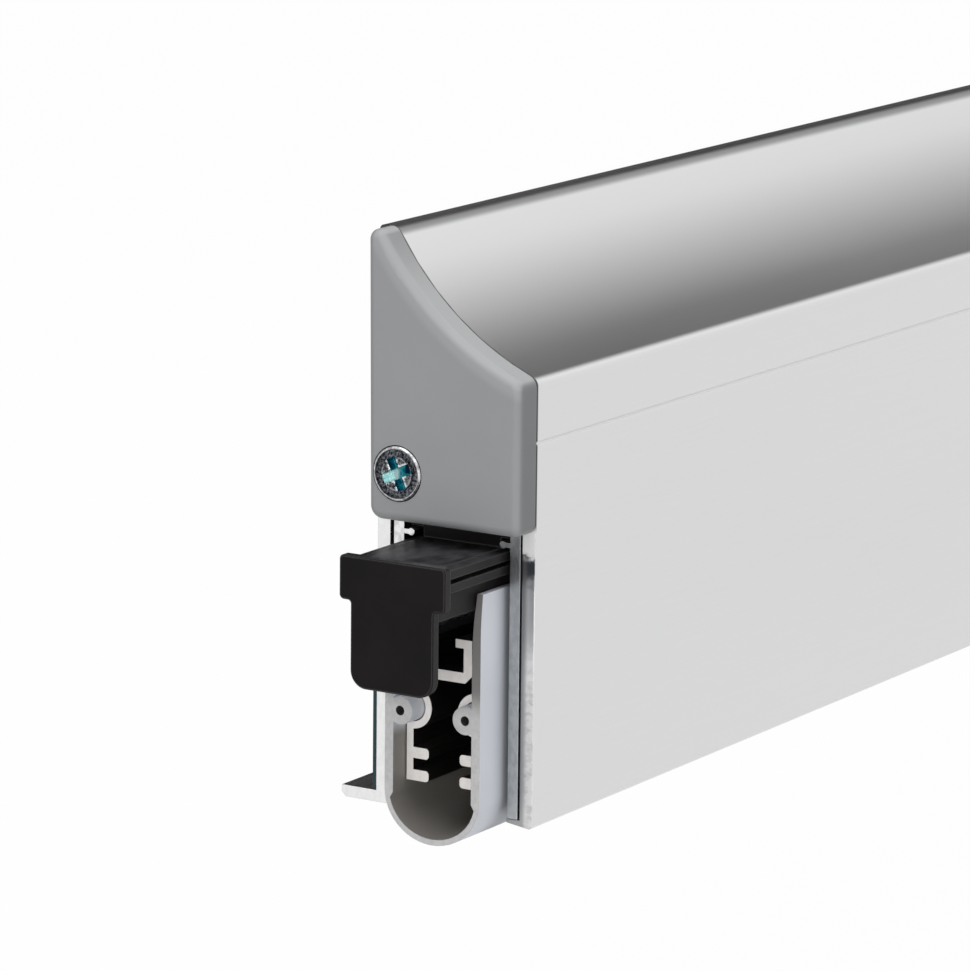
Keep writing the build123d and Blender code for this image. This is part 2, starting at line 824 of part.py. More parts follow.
def make_return_spring(pivot_x):
    x_start = pivot_x - rest_run + slide_block_behind + spring_wire_radius
    x_end = pivot_x - bearing_block_ahead - spring_wire_radius
    pitch = (x_end - x_start) / spring_turns
    path = Helix(pitch=pitch, height=x_end - x_start, radius=spring_mean_radius)
    wire_plane = Plane(origin=path @ 0, z_dir=path % 0)
    wire = RegularPolygon(spring_wire_radius, spring_wire_flats)
    coil = sweep(wire_plane * wire, path=path, is_frenet=True)
    return Pos(x_start, -middle, rod_z) * Rot(Y=90) * coil


# Export
def save(name, *solids):
    """Moves a node to the part's origin and writes it."""
    origin = Pos(-length / 2, 0, -door_hole_z)
    placed = [origin * solid for solid in solids]
    node = placed[0] if len(placed) == 1 else Compound(children=placed)
    export_step(node, "parts/" + name + ".step")


os.makedirs("parts", exist_ok=True)
pivots = {"left": left_pivot_x, "right": right_pivot_x}
both_pivots = list(pivots.values())
left_cap = make_left_cap()
left_screw = make_left_cap_screw()
save("cover", make_cover())
save("base_plate", make_base_plate())
save("housing_channel", make_channel())
save("gasket_tape", make_tape())
save("left_end_cap", left_cap)
save("right_end_cap", mirrored_to_far_end(left_cap))
save("end_cap_screws", left_screw, mirrored_to_far_end(left_screw))
save("housing_screws", *[make_clamp_screw(x) for x in both_pivots])
save("plunger", make_plunger())
save("push_rod", make_push_rod())
save("lock_nut", make_lock_nut())
save("set_screws", *[make_set_screw(x) for x in both_pivots])
save("return_spring", make_return_spring(left_pivot_x))
save("seal", make_seal())
save("carrier", make_carrier())

block_pin_half = block_stem_width / 2
hanger_pin_half = hanger_head_width / 2
bearing_pins = [make_pivot_pin(x, pivot_z, block_pin_half) for x in both_pivots]
slide_pins = [make_pivot_pin(x - rest_run, pivot_z, block_pin_half) for x in both_pivots]
hanger_pins = [make_pivot_pin(x, hanger_pivot_z, hanger_pin_half) for x in both_pivots]
save("bearing_pins", *bearing_pins)
save("slide_pins", *slide_pins)
save("hanger_pins", *hanger_pins)
for side_name, side_pivot in pivots.items():
    save(side_name + "_bearing_block", make_bearing_block(side_pivot))
    save(side_name + "_slide_block", make_slide_block(side_pivot))
    save(side_name + "_long_lever", make_long_lever(side_pivot))
    save(side_name + "_link_fork", make_link_fork(side_pivot))
    save(side_name + "_fork_pin", make_pivot_pin(*lever_middle(side_pivot), fork_width / 2))
    save(side_name + "_hanger_block", make_hanger_block(side_pivot))
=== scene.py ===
import json
import math

import bmesh
import bpy
from mathutils import Matrix, Vector, noise


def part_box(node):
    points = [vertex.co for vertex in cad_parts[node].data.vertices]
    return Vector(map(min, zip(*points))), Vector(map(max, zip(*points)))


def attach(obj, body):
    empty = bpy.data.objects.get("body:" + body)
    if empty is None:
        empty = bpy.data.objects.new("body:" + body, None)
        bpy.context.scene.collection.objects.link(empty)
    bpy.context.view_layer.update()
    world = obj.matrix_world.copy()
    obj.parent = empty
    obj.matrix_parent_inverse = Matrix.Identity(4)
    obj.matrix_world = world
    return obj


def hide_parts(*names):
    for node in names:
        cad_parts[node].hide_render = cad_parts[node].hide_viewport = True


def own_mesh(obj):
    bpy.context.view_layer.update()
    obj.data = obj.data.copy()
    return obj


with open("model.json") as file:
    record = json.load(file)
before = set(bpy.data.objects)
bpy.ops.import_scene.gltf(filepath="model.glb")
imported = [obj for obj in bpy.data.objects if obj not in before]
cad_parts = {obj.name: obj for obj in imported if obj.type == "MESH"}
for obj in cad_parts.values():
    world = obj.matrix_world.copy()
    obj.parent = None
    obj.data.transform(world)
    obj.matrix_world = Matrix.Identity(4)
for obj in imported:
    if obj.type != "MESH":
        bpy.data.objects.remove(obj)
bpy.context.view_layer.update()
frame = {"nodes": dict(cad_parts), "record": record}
nodes = frame["nodes"]
scene = bpy.context.scene
scene.view_settings.view_transform = "Standard"

# Lengths on the object are in metres, from the frame's origin where nothing else is said.
# A pair that ends in _FADE says where a mask is 0 and where it is 1.

# Camera, fitted to the photograph's edges; the sensor is in millimetres
LENS_PIXELS = 5671.0
PHOTO_WIDTH = 970.0
SENSOR_WIDTH = 36.0
CAMERA_PLACE = (-0.70087, -0.30580, 0.10473)
CAMERA_RIGHT = Vector((0.53029, -0.84775, 0.01059)).normalized()
CAMERA_FORWARD = Vector((0.83100, 0.51725, -0.20467)).normalized()
CAMERA_REACH = (0.01, 50.0)

# Floor, light and the dark screen that the metal mirrors
FLOOR_HEIGHT = -0.085
FLOOR_HALF_WIDTH = 20.0
FLOOR_GLOW = 0.98
FLOOR_SHADE = 0.6
WORLD_LEVEL = 0.38
AIM = (-0.2, 0.0, 0.0)
LAMPS = (  # name, place, size and watts
    ("top_lamp", (-0.6, -0.1, 1.4), (1.6, 1.6), 17.0),
    ("end_lamp", (-1.35, -0.45, 0.05), (0.6, 0.5), 5.0),
    ("front_lamp", (-0.3, -1.4, 0.4), (1.2, 0.8), 1.4),
)
SCREEN_PLACE = (0.88, 0.55, 0.70)
SCREEN_SIZE = (2.9, 1.6)
SCREEN_STOPS = ((0.07, 0.0), (0.18, 0.33), (0.385, 1.0))
SCREEN_BLACK = 0.01

# Noise: along the profile, and its values that count as dark and as light
LENGTHWAYS = (0.015, 1.0, 1.0)
NOISE_LOW, NOISE_HIGH = 0.3, 0.7

# Faces that are square to the profile's length, by the part of their normal along it
CUT_END_FADE = (0.8, 0.95)

# Edges, by how far the rounded normal turns from the true one
RIM_START = 0.995
RIM_TURN = 0.12
BEVEL_SAMPLES = 6

# Hollow top of the cover and its caps: centre in Y and Z, radius, and the band round it where light
# is painted on the caps
HOLLOW_CENTRE = (-0.02994, 0.03038)
HOLLOW_RADIUS = 0.0323
HOLLOW_LIT_BAND_FADE = (0.0021, 0.0011)

# Cover's skin, where light and shade are painted: lit upward faces, shaded lip behind the cap (from
# the end), shaded nose and crest (below the top)
LIT_UPWARD_FADE = (0.3, 0.6)
CAP_FOOT_SOFT = 0.001
SHADED_LIP_FADE = (0.00025, 0.0001)
NOSE_SHADE_FADE = (0.00105, 0.0005)
NOSE_SHADE_FRONT_FADE = (0.2, -0.1)
NOSE_SHADE_DENSITY = 0.57
CREST_FADE = (0.00012, 0.00045)
CREST_SHADE_DENSITY = 0.27

# Cover's sawn ends: levels in Z, among them the band of the painted reflection of the plunger, and
# the wall's inner side in Y
SAW_WAVER = 0.003
SAW_PALE_FADE = (-0.035, -0.023)
PLUNGER_REFLECTION_FOOT_FADE = (-0.0214, -0.0192)
PLUNGER_REFLECTION_TOP_FADE = (-0.0174, -0.0186)
BELOW_CAP_FADE = (-0.0186, -0.0178)
INNER_SIDE_FADE = (-0.0180, -0.0174)

# Housing channel: its ends turn pale from the middle to this far before the back; and its inside,
# which is painted dark as shade
CHANNEL_REAR_WALL = 0.003
CHANNEL_SHADED_INSIDE_FADE = (-0.0004, -0.0012)

# End cap's faces, by their normals, where light and shade are painted: lit hollow, its lit rounding
# at the side, shaded front and back
CAP_UP_FADE = (0.06, 0.22)
CAP_FORWARD_FADE = (0.05, 0.3)
CAP_ROUNDING_FADE = (0.05, 0.55)
CAP_SHADED_FRONT_FADE = (0.7, 0.97)
CAP_SHADED_BACK_FADE = (-0.1, -0.5)

# Plunger's faces, by their normals, for its dust with painted sheen on top and painted light in
# front, and the width of its painted edge highlights
PLUNGER_DUST_AND_SHEEN_FADE = (0.7, 0.95)
PLUNGER_LIT_FRONT_FADE = (-0.7, -0.95)
PLUNGER_EDGE_HIGHLIGHT = 0.00025

# Seal, where shade is painted: inside of the U below the beads, and a darker stretch of the walls
# behind their cut ends
SEAL_SHADED_INSIDE_FADE = (-0.0002, -0.001)
SEAL_OUTSIDE_FADE = (-0.0002, 0.0002)
BELOW_BEADS_FADE = (-0.0355, -0.0375)
WALL_SHADE_START_FADE = (0.0018, 0.0064)
WALL_SHADE_END_FADE = (0.0110, 0.0080)
WALL_SHADE_DENSITY = 0.7
FREE_WALL_FADE = (-0.0345, -0.031)
WALL_OUTSIDE_FADE = (0.0058, 0.0048)

# Beads of the seal: their axes from the seal's middle in Y and in Z, and their bore's radius
BEAD_OFFSET = 0.00386
BEAD_LEVEL = -0.03453
BEAD_BORE = 0.0005
BEAD_BORE_FADE = (0.00012, 0.00006)

# Soft seal at its cut ends
SEAL_LEAN = 0.00035
SEAL_WAVE = 0.00012
SEAL_WAVE_SCALE = 160.0
SEAL_LEAN_HEIGHT = 0.0095
SEAL_LEAN_REACH = 0.006
SEAL_SLICES = 8

# End cap screw, from its axis: rim, painted highlights round the cross, and the cross with its
# painted glint and painted dark spot
SCREW_RIM_FADE = (0.00250, 0.00262)
HIGHLIGHT_WIDTH = 0.00045
HIGHLIGHT_TURN = 0.06
HIGHLIGHT_FADE = (0.0018, 0.0016)
HIGHLIGHT_BLOBS_FADE = (0.42, 0.5)
SUNK_FADE = (0.00006, 0.00016)
CROSS_FADE = (0.00183, 0.00179)
GLINT_ASIDE_FADE = (0.0002, 0.0007)
GLINT_ABOVE_FADE = (0.0004, 0.0001)
SHADE_SPOT_ASIDE = (-0.0009, -0.0003)
SHADE_SPOT_SOFT = 0.0001
SHADE_SPOT_ABOVE_FADE = (-0.0002, 0.0)

# Return spring: wire radius, flats round the wire, turns and steps in each turn
COIL_WIRE = 0.00028
COIL_CLEARANCE = 0.0003
COIL_FLATS = 8
COIL_TURNS = 5
COIL_STEPS = 24

# Foam strip
FOAM_ROUNDING = 0.00012
FOAM_SLICE = 0.004
FOAM_ROWS = 4
FOAM_DENT = 0.00006
FOAM_DENT_SCALE = 90.0

# Meshes: corners that are one, planes that are one, and edges that stay sharp
WELD = 0.000002
COIL_WELD = 0.000001
SLICE_TOUCH = 0.0000001
FLAT_ANGLE = math.radians(0.2)
SHARP_ANGLE = math.radians(28.0)

# Sockets of a colour Mix node
MIX_FACTOR, MIX_UNDER, MIX_UPPER, MIX_RESULT = 0, 6, 7, 2


def add_camera():
    data = bpy.data.cameras.new("camera")
    data.sensor_fit = "HORIZONTAL"
    data.sensor_width = SENSOR_WIDTH
    data.lens = LENS_PIXELS / PHOTO_WIDTH * SENSOR_WIDTH
    data.clip_start, data.clip_end = CAMERA_REACH
    camera = bpy.data.objects.new("camera", data)
    up = CAMERA_RIGHT.cross(CAMERA_FORWARD).normalized()
    turn = Matrix((CAMERA_RIGHT, up, -CAMERA_FORWARD)).transposed().to_4x4()
    camera.matrix_world = Matrix.Translation(CAMERA_PLACE) @ turn
    scene.collection.objects.link(camera)
    scene.camera = camera


class Finish:
    """A procedural material under construction, on the piece's own coordinates."""

    def __init__(self, name, roughness, metallic=0.0):
        self.material = bpy.data.materials.new(name)
        self.material.use_nodes = True
        self.nodes = self.material.node_tree.nodes
        self.links = self.material.node_tree.links
        self.shader = self.nodes["Principled BSDF"]
        self.shader.inputs["Roughness"].default_value = roughness
        self.shader.inputs["Metallic"].default_value = metallic
        coordinates = self.add("ShaderNodeTexCoord")
        self.place = coordinates.outputs["Object"]
        self.normal = coordinates.outputs["Normal"]

    def add(self, kind, **settings):
        node = self.nodes.new(kind)
        for key, value in settings.items():
            setattr(node, key, value)
        return node

    def feed(self, value, socket):
        """Links an output to a socket, or sets the socket to a number or a colour."""
        if isinstance(value, bpy.types.NodeSocket):
            self.links.new(value, socket)
        elif isinstance(value, tuple) and len(socket.default_value) == 4:
            socket.default_value = (*value, 1.0)
        else:
            socket.default_value = value

    def noise(self, scale, detail=4.0, roughness=0.6, stretch=(1.0, 1.0, 1.0)):
        mapping = self.add("ShaderNodeMapping")
        mapping.inputs["Scale"].default_value = stretch
        self.feed(self.place, mapping.inputs["Vector"])
        texture = self.add("ShaderNodeTexNoise")
        texture.inputs["Scale"].default_value = scale
        texture.inputs["Detail"].default_value = detail
        texture.inputs["Roughness"].default_value = roughness
        self.feed(mapping.outputs["Vector"], texture.inputs["Vector"])
        return texture.outputs["Fac"]

    def part_of(self, vector, axis):
        split = self.add("ShaderNodeSeparateXYZ")
        self.feed(vector, split.inputs["Vector"])
        return split.outputs[axis]

    def at(self, axis):
        """The piece's own coordinate along an axis."""
        return self.part_of(self.place, axis)

    def slope(self, axis):
        """The part of the face's normal along an axis."""
        return self.part_of(self.normal, axis)

    def calculate(self, operation, first, second=0.0, third=0.0):
        step = self.add("ShaderNodeMath", operation=operation)
        for value, socket in zip((first, second, third), step.inputs):
            self.feed(value, socket)
        return step.outputs["Value"]

    def both(self, first, second):
        """1 where two masks are both 1."""
        return self.calculate("MULTIPLY", first, second)

    def unless(self, mask):
        """1 where a mask is 0."""
        return self.calculate("SUBTRACT", 1.0, mask)

    def magnitude(self, value):
        return self.calculate("ABSOLUTE", value)

    def vector(self, operation, first, second, result="Vector"):
        step = self.add("ShaderNodeVectorMath", operation=operation)
        self.feed(first, step.inputs[0])
        self.feed(second, step.inputs[1])
        return step.outputs[result]

    def fade(self, value, start, end):
        """0 at start, 1 at end and smooth between them."""
        span = self.add("ShaderNodeMapRange", interpolation_type="SMOOTHSTEP")
        span.inputs["From Min"].default_value = start
        span.inputs["From Max"].default_value = end
        self.feed(value, span.inputs["Value"])
        return span.outputs["Result"]

    def fade_below(self, value, top, depths):
        """A fade whose ends are two depths below a top."""
        return self.fade(value, top - depths[0], top - depths[1])

    def between(self, value, start, end, soft):
        """1 from start to end, with soft borders."""
        rise = self.fade(value, start - soft, start + soft)
        fall = self.fade(value, end + soft, end - soft)
        return self.both(rise, fall)

    def shades(self, fac, dark, light, low=NOISE_LOW, high=NOISE_HIGH):
        ramp = self.add("ShaderNodeValToRGB")
        for element, place, colour in zip(ramp.color_ramp.elements, (low, high), (dark, light)):
            element.position = place
            element.color = (*colour, 1.0)
        self.feed(fac, ramp.inputs["Fac"])
        return ramp.outputs["Color"]

    def over(self, mask, under, upper):
        """Lies one colour over another where the mask is 1."""
        mix = self.add("ShaderNodeMix", data_type="RGBA")
        self.feed(mask, mix.inputs[MIX_FACTOR])
        self.feed(under, mix.inputs[MIX_UNDER])
        self.feed(upper, mix.inputs[MIX_UPPER])
        return mix.outputs[MIX_RESULT]

    def colour(self, value):
        self.feed(value, self.shader.inputs["Base Color"])

    def colour_over(self, mask, upper):
        """Lies a colour over the one that the shader has so far."""
        so_far = self.shader.inputs["Base Color"].links[0].from_socket
        self.colour(self.over(mask, so_far, upper))

    def roughness_between(self, fac, smooth, rough):
        span = self.add("ShaderNodeMapRange")
        span.inputs["From Min"].default_value = NOISE_LOW
        span.inputs["From Max"].default_value = NOISE_HIGH
        span.inputs["To Min"].default_value = smooth
        span.inputs["To Max"].default_value = rough
        self.feed(fac, span.inputs["Value"])
        self.feed(span.outputs["Result"], self.shader.inputs["Roughness"])

    def cut_ends(self):
        """1 on the faces that are square to the profile's length."""
        return self.fade(self.magnitude(self.slope("X")), *CUT_END_FADE)

    def from_line(self, middle_y, middle_z):
        """The way from a line along X to the surface, square to the line."""
        offset = self.vector("SUBTRACT", self.place, (0.0, middle_y, middle_z))
        return self.vector("MULTIPLY", offset, (0.0, 1.0, 1.0))

    def facing_out(self, middle_y, middle_z):
        """Positive on faces that look away from a line along X, negative inside."""
        offset = self.from_line(middle_y, middle_z)
        return self.vector("DOT_PRODUCT", offset, self.normal, "Value")

    def length_of(self, vector):
        return self.vector("LENGTH", vector, (0.0, 0.0, 0.0), "Value")

    def rims(self, radius, turn=RIM_TURN):
        """1 along the edges, within a radius, and 0 on open faces."""
        bevel = self.add("ShaderNodeBevel", samples=BEVEL_SAMPLES)
        bevel.inputs["Radius"].default_value = radius
        geometry = self.add("ShaderNodeNewGeometry")
        alike = self.vector(
            "DOT_PRODUCT", bevel.outputs["Normal"], geometry.outputs["Normal"], "Value"
        )
        return self.fade(alike, RIM_START, 1.0 - turn)

    def relief(self, fac, height, strength, edge=0.0):
        """Bumps of a height in metres, and softened edges where edge is given."""
        bump = self.add("ShaderNodeBump")
        bump.inputs["Strength"].default_value = strength
        bump.inputs["Distance"].default_value = height
        self.feed(fac, bump.inputs["Height"])
        if edge:
            bevel = self.add("ShaderNodeBevel", samples=BEVEL_SAMPLES)
            bevel.inputs["Radius"].default_value = edge
            self.feed(bevel.outputs["Normal"], bump.inputs["Normal"])
        self.feed(bump.outputs["Normal"], self.shader.inputs["Normal"])


def middle_of(name):
    """Middle of a node's box in Y and Z."""
    low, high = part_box(name)
    return (low[1] + high[1]) / 2, (low[2] + high[2]) / 2


def brushed_anodised():
    """Satin anodised cover, with fine lines along the profile and milled ends."""
    finish = Finish("brushed_anodised", 0.33, 1.0)
    lines = finish.noise(5000.0, 6.0, 0.7, LENGTHWAYS)
    clouds = finish.noise(45.0, 3.0, 0.5, (0.15, 1.0, 1.0))
    finish.colour(finish.over(finish.cut_ends(), cover_skin(finish, lines), cover_ends(finish)))
    finish.roughness_between(clouds, 0.31, 0.35)
    finish.relief(lines, 0.000006, 0.15, edge=0.00018)
    return finish.material


def behind_cap(finish):
    """1 above the end cap's foot."""
    cap_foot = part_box("left_end_cap")[0][2]
    return finish.fade(finish.at("Z"), cap_foot, cap_foot + CAP_FOOT_SOFT)


def cover_skin(finish, lines):
    """Brushed skin, with painted light where it looks up, a painted shade under the nose and
    painted shade on the lip behind the cap.
    """
    _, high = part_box("cover")
    skin = finish.shades(lines, (0.718, 0.718, 0.719), (0.734, 0.734, 0.735))
    # Painted light: faces that look up are painted paler.
    lit_upward = finish.fade(finish.slope("Z"), *LIT_UPWARD_FADE)
    skin = finish.over(lit_upward, skin, (0.795, 0.795, 0.80))
    # Painted shade: a dark band on the front faces just below the top, weaker at the very crest.
    crest = finish.fade_below(finish.at("Z"), high[2], CREST_FADE)
    density = finish.calculate(
        "MULTIPLY_ADD", crest, NOSE_SHADE_DENSITY - CREST_SHADE_DENSITY, CREST_SHADE_DENSITY
    )
    nose_shade = finish.both(finish.fade_below(finish.at("Z"), high[2], NOSE_SHADE_FADE), density)
    nose_shade = finish.both(nose_shade, finish.fade(finish.slope("Y"), *NOSE_SHADE_FRONT_FADE))
    skin = finish.over(nose_shade, skin, (0.04, 0.042, 0.042))
    # Painted shade: the skin's lip at the end, behind the cap, is painted dark.
    shaded_lip = finish.fade_below(finish.magnitude(finish.at("X")), high[0], SHADED_LIP_FADE)
    return finish.over(finish.both(shaded_lip, behind_cap(finish)), skin, (0.10, 0.10, 0.10))


def cover_ends(finish):
    """Sawn end: grey below, pale above, with a painted reflection of the plunger as a dark band
    under the cap, and painted shade above the cap's foot, behind the cap.
    """
    saw = finish.noise(1300.0, 5.0, 0.65, (1.0, 0.6, 1.0))
    waver = finish.calculate("MULTIPLY_ADD", saw, SAW_WAVER, -SAW_WAVER / 2)
    height = finish.calculate("ADD", finish.at("Z"), waver)
    cut = finish.shades(saw, (0.50, 0.495, 0.495), (0.70, 0.69, 0.69), 0.34, 0.56)
    cut = finish.over(finish.fade(height, *SAW_PALE_FADE), cut, (0.90, 0.90, 0.90))
    # Painted reflection: a dark band where the plunger is mirrored in the end.
    plunger_reflection = finish.both(
        finish.fade(height, *PLUNGER_REFLECTION_FOOT_FADE), finish.fade(height, *PLUNGER_REFLECTION_TOP_FADE)
    )
    cut = finish.over(plunger_reflection, cut, (0.15, 0.17, 0.20))
    below_cap = finish.fade(height, *BELOW_CAP_FADE)
    inner_side = finish.fade(finish.at("Y"), *INNER_SIDE_FADE)
    inner_side = finish.both(inner_side, finish.unless(below_cap))
    cut = finish.over(inner_side, cut, (0.36, 0.36, 0.365))
    dull = finish.both(below_cap, finish.cut_ends())
    finish.feed(finish.unless(dull), finish.shader.inputs["Metallic"])
    # Painted shade: the sawn end above the cap's foot, behind the cap, is painted near black.
    return finish.over(behind_cap(finish), cut, (0.03, 0.03, 0.03))


def extruded(name, skin, end_dark, end_light, smooth, rough):
    """Plain extrusion with faint die lines, and sawn ends."""
    finish = Finish(name, smooth, 1.0)
    lines = finish.noise(3500.0, 4.0, 0.6, LENGTHWAYS)
    saw = finish.noise(1600.0, 4.0, 0.6, (1.0, 1.0, 0.6))
    along = finish.shades(lines, tuple(0.93 * part for part in skin), skin)
    ends = finish.shades(saw, end_dark, end_light, 0.35, 0.6)
    finish.colour(finish.over(finish.cut_ends(), along, ends))
    finish.roughness_between(lines, smooth, rough)
    finish.relief(lines, 0.000006, 0.2, edge=0.0001)
    return finish


def plate_aluminium():
    return extruded(
        "plate_aluminium", (0.78, 0.78, 0.77), (0.77, 0.77, 0.77), (0.83, 0.83, 0.83), 0.26, 0.36
    ).material


def channel_aluminium():
    """The housing channel: painted shade inside, with a grey cut at its front wall."""
    finish = extruded(
        "channel_aluminium", (0.40, 0.40, 0.41), (0.41, 0.42, 0.43), (0.50, 0.52, 0.53), 0.3, 0.42
    )
    middle_y, middle_z = middle_of("housing_channel")
    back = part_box("housing_channel")[1][1]
    behind = finish.fade(finish.at("Y"), middle_y, back - CHANNEL_REAR_WALL)
    mottle = finish.noise(900.0, 4.0, 0.65)
    pale = finish.shades(mottle, (0.58, 0.58, 0.58), (0.84, 0.84, 0.84), 0.36, 0.56)
    finish.colour_over(finish.both(behind, finish.cut_ends()), pale)
    # Painted shade: faces that look into the channel are painted dark.
    shaded_inside = finish.fade(finish.facing_out(middle_y, middle_z), *CHANNEL_SHADED_INSIDE_FADE)
    finish.colour_over(shaded_inside, (0.10, 0.095, 0.09))
    return finish.material


def carrier_aluminium():
    """The seal's carrier: warm white sawn ends, and a skin painted dull dark as shade inside the
    channel.
    """
    # Painted shade: the carrier's skin lies inside the channel and is painted dark.
    finish = extruded(
        "carrier_aluminium", (0.105, 0.095, 0.09), (0.90, 0.86, 0.82), (0.97, 0.94, 0.91), 0.42, 0.5
    )
    finish.feed(finish.unless(finish.cut_ends()), finish.shader.inputs["Metallic"])
    return finish.material


def cap_plastic():
    """Matt grey moulding with a fine eroded grain, with painted light on its edges and hollow and
    painted shade on its front and back.
    """
    finish = Finish("cap_plastic", 0.55)
    grain = finish.noise(7000.0, 3.0, 0.6)
    clouds = finish.noise(110.0, 3.0, 0.5)
    forward = finish.calculate("MULTIPLY", finish.slope("Y"), -1.0)
    # Painted light: faces that look up and forward into the hollow, and their rounding at the side,
    # are painted paler.
    lit_hollow = finish.both(
        finish.fade(finish.slope("Z"), *CAP_UP_FADE), finish.fade(forward, *CAP_FORWARD_FADE)
    )
    rounding = finish.fade(finish.magnitude(finish.slope("X")), *CAP_ROUNDING_FADE)
    pale = finish.over(rounding, (0.435, 0.442, 0.448), (0.365, 0.372, 0.378))
    radius = finish.length_of(finish.from_line(*HOLLOW_CENTRE))
    band_start, band_end = (HOLLOW_RADIUS + part for part in HOLLOW_LIT_BAND_FADE)
    face = finish.shades(clouds, (0.288, 0.296, 0.302), (0.312, 0.319, 0.326))
    # Painted light: a paler band round the hollow's edge.
    face = finish.over(finish.fade(radius, band_start, band_end), face, (0.345, 0.352, 0.358))
    face = finish.over(lit_hollow, face, pale)
    # Painted shade: faces that look to the front and to the back are painted darker.
    face = finish.over(finish.fade(forward, *CAP_SHADED_FRONT_FADE), face, (0.222, 0.230, 0.237))
    face = finish.over(finish.fade(forward, *CAP_SHADED_BACK_FADE), face, (0.25, 0.256, 0.262))
    finish.colour(face)
    finish.roughness_between(clouds, 0.5, 0.62)
    finish.relief(grain, 0.00002, 0.22, edge=0.0001)
    return finish.material


def black_plastic():
    """Satin black moulding with painted highlights a little grey on its edges, painted light on its
    front, and a top of dust with painted sheen.
    """
    finish = Finish("black_plastic", 0.36)
    finish.shader.inputs["Specular IOR Level"].default_value = 0.1
    grain = finish.noise(5000.0, 3.0, 0.6)
    clouds = finish.noise(190.0, 3.0, 0.5)
    top_patches = finish.noise(420.0, 5.0, 0.65, (0.5, 1.0, 1.0))
    dust_and_sheen = finish.shades(top_patches, (0.014, 0.013, 0.014), (0.060, 0.060, 0.065), 0.40, 0.62)
    face = finish.shades(clouds, (0.0050, 0.0040, 0.0042), (0.0085, 0.0068, 0.0072))
    # Part dust, part painted sheen: the top is painted paler in patches.
    face = finish.over(finish.fade(finish.slope("Z"), *PLUNGER_DUST_AND_SHEEN_FADE), face, dust_and_sheen)
    # Painted light: faces that look to the front are painted a little paler.
    forward = finish.fade(finish.slope("Y"), *PLUNGER_LIT_FRONT_FADE)
    face = finish.over(forward, face, (0.026, 0.024, 0.024))
    # Painted highlight: the edges are painted a little grey.
    finish.colour(finish.over(finish.rims(PLUNGER_EDGE_HIGHLIGHT), face, (0.085, 0.080, 0.080)))
    finish.roughness_between(clouds, 0.32, 0.44)
    finish.relief(grain, 0.00002, 0.15, edge=0.00022)
    return finish.material


def white_plastic():
    """Natural moulding of the sliding and bearing blocks."""
    finish = Finish("white_plastic", 0.42)
    grain = finish.noise(5000.0, 3.0, 0.6)
    clouds = finish.noise(200.0, 3.0, 0.5)
    finish.colour(finish.shades(clouds, (0.73, 0.72, 0.68), (0.79, 0.78, 0.74)))
    finish.roughness_between(clouds, 0.38, 0.46)
    finish.relief(grain, 0.00002, 0.15, edge=0.0002)
    return finish.material


def seal_rubber():
    """Soft light grey rubber: fine extrusion lines, painted shade inside, darker knife cuts."""
    finish = Finish("seal_rubber", 0.5)
    lines = finish.noise(2600.0, 4.0, 0.6, LENGTHWAYS)
    clouds = finish.noise(90.0, 3.0, 0.5)
    outward = finish.facing_out(*middle_of("seal"))
    skin = seal_skin(finish, clouds, outward)
    grain = finish.noise(2200.0, 4.0, 0.6)
    cut = finish.shades(grain, (0.52, 0.515, 0.52), (0.60, 0.595, 0.60), 0.35, 0.65)
    walls = finish.both(
        finish.fade(finish.at("Z"), *FREE_WALL_FADE), finish.fade(outward, *WALL_OUTSIDE_FADE)
    )
    cut = finish.over(walls, cut, (0.20, 0.190, 0.187))
    finish.colour(finish.over(finish.cut_ends(), skin, cut))
    finish.roughness_between(clouds, 0.45, 0.6)
    finish.relief(lines, 0.00002, 0.2, edge=0.0001)
    return finish.material


def seal_skin(finish, clouds, outward):
    """Pale outside; painted shade in brown inside and in the beads' bores, and a little painted
    shade on the walls behind the cut ends.
    """
    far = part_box("seal")[1][0]
    skin = finish.shades(clouds, (0.72, 0.75, 0.81), (0.77, 0.80, 0.86))
    below_beads = finish.fade(finish.at("Z"), *BELOW_BEADS_FADE)
    # Painted shade: the inside of the U below the beads is painted brown.
    shaded_inside = finish.both(finish.fade(outward, *SEAL_SHADED_INSIDE_FADE), below_beads)
    skin = finish.over(shaded_inside, skin, (0.27, 0.255, 0.235))
    # Painted shade: the outer walls are painted darker for a stretch behind the cut ends, where the
    # channel shades them.
    from_middle = finish.magnitude(finish.at("X"))
    wall_shade = finish.both(
        finish.fade_below(from_middle, far, WALL_SHADE_START_FADE),
        finish.fade_below(from_middle, far, WALL_SHADE_END_FADE),
    )
    wall_shade = finish.both(wall_shade, finish.fade(outward, *SEAL_OUTSIDE_FADE))
    wall_shade = finish.calculate("MULTIPLY", wall_shade, WALL_SHADE_DENSITY)
    skin = finish.over(wall_shade, skin, (0.24, 0.255, 0.28))
    # Painted shade: the bores of the beads are painted near black.
    return finish.over(bead_bores(finish), skin, (0.075, 0.07, 0.068))


def bead_bores(finish):
    """1 inside the hollow beads of both walls."""
    aside = finish.calculate("SUBTRACT", finish.at("Y"), middle_of("seal")[0])
    aside = finish.calculate("SUBTRACT", finish.magnitude(aside), BEAD_OFFSET)
    above = finish.calculate("SUBTRACT", finish.at("Z"), BEAD_LEVEL)
    apart = finish.calculate(
        "ADD",
        finish.calculate("MULTIPLY", aside, aside),
        finish.calculate("MULTIPLY", above, above),
    )
    start, end = ((BEAD_BORE + part) ** 2 for part in BEAD_BORE_FADE)
    return finish.fade(apart, start, end)


def dark_foam():
    """Closed cell tape, dark with a teal cast."""
    finish = Finish("dark_foam", 0.8)
    cells = finish.noise(2500.0, 3.0, 0.6)
    finish.colour(finish.shades(cells, (0.006, 0.024, 0.030), (0.018, 0.052, 0.060)))
    finish.roughness_between(cells, 0.7, 0.9)
    finish.relief(cells, 0.00005, 0.4)
    return finish.material


